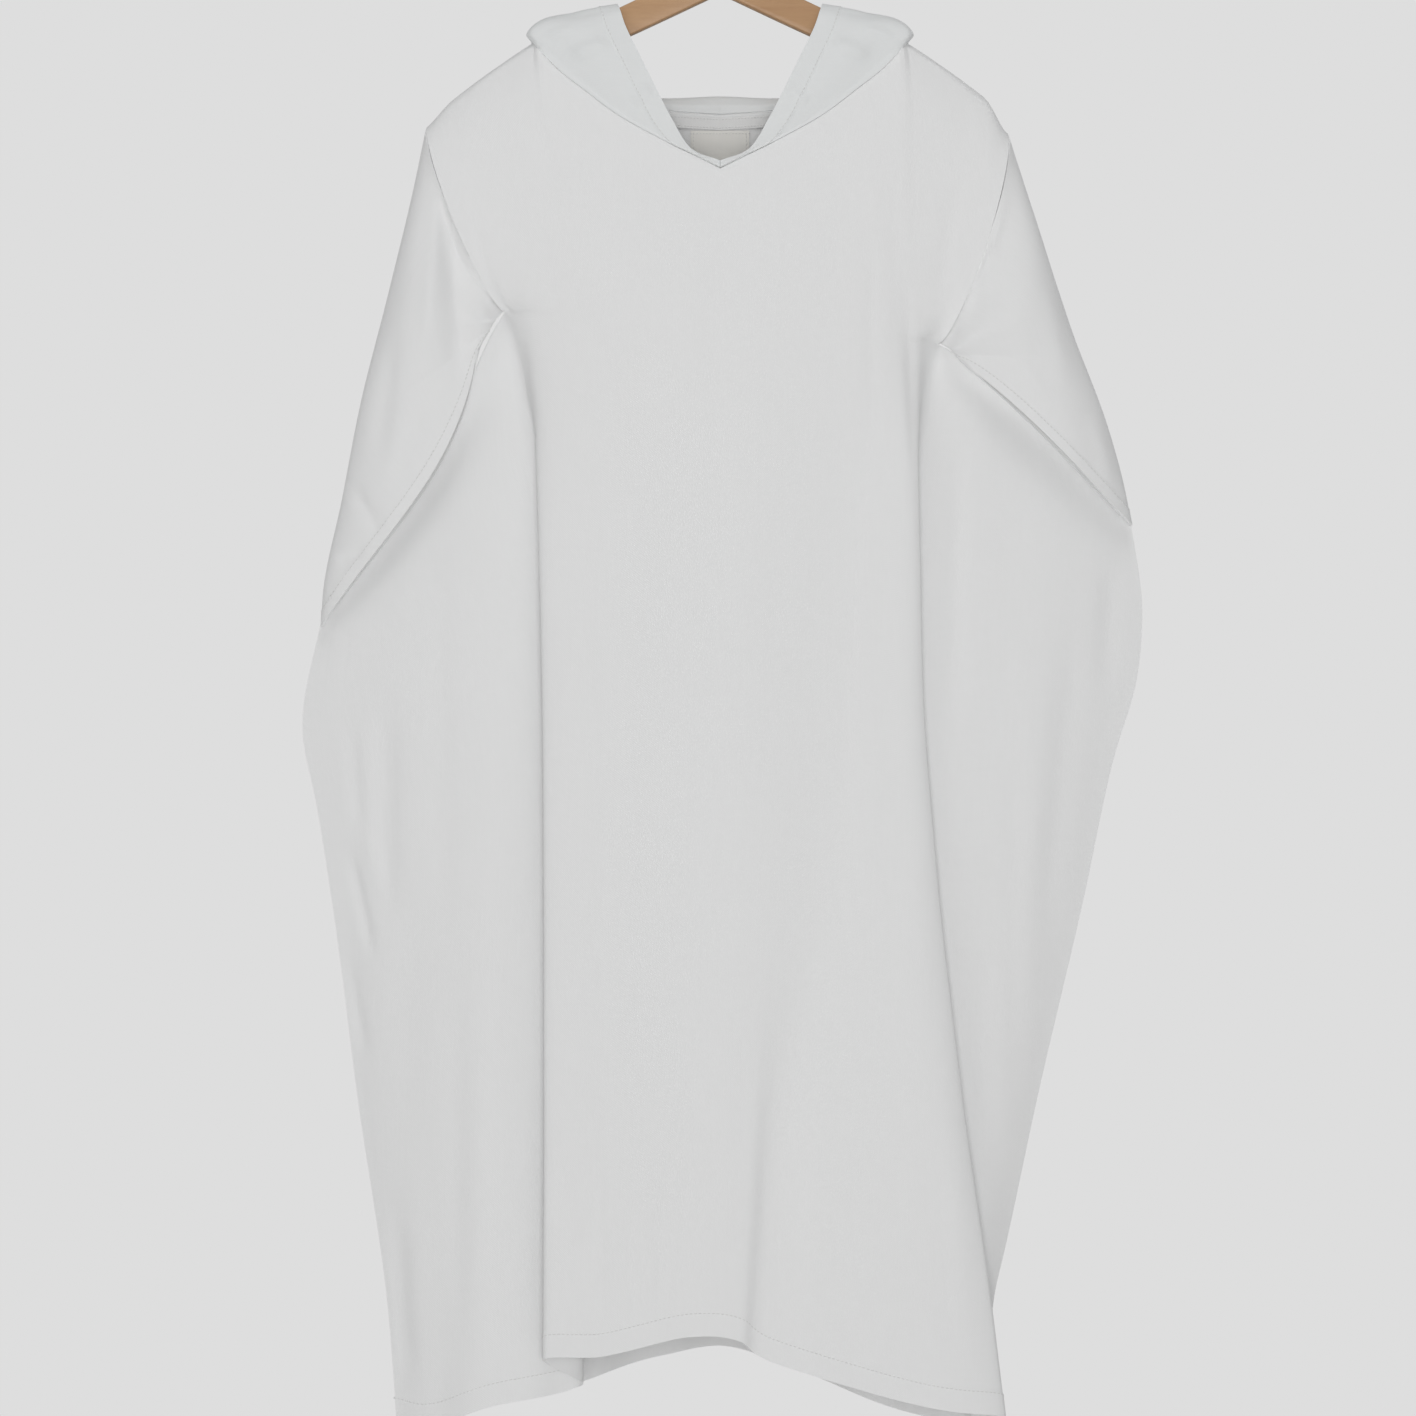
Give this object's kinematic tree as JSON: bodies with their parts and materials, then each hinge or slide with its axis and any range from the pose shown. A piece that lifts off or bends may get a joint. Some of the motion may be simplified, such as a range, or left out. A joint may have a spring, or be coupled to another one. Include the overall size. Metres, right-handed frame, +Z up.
{
  "type": "hooded surf poncho on a wooden hanger",
  "caption": "Long hooded poncho of white cloth, hanging open and hollow on a flat wooden hanger, hood fallen behind.",
  "frame": {"origin": "inner top of the hanger's hook, where the rail bears, in the middle of the wire", "axes": "+Z up along the hanging garment, +X to the wearer's left, which is the picture's right, -Y out of the garment's front"},
  "size_m": [0.6823, 0.1574, 1.2699],
  "materials": {
    "cloth": "plain white matt cotton, soft and closely woven",
    "tape": "white woven tape",
    "label": "blank satin label",
    "wood": "light beech, clear satin varnish",
    "hook": "bright steel wire"
  },
  "bodies": {
    "root": {"front_panel": "cloth", "back_panel": "cloth", "sleeve_left": "cloth", "sleeve_right": "cloth", "hood_left": "cloth", "hood_right": "cloth", "neck_tape": "tape", "neck_label": "label", "hanger_wood": "wood", "hanger_hook": "hook"}
  },
  "joints": []
}
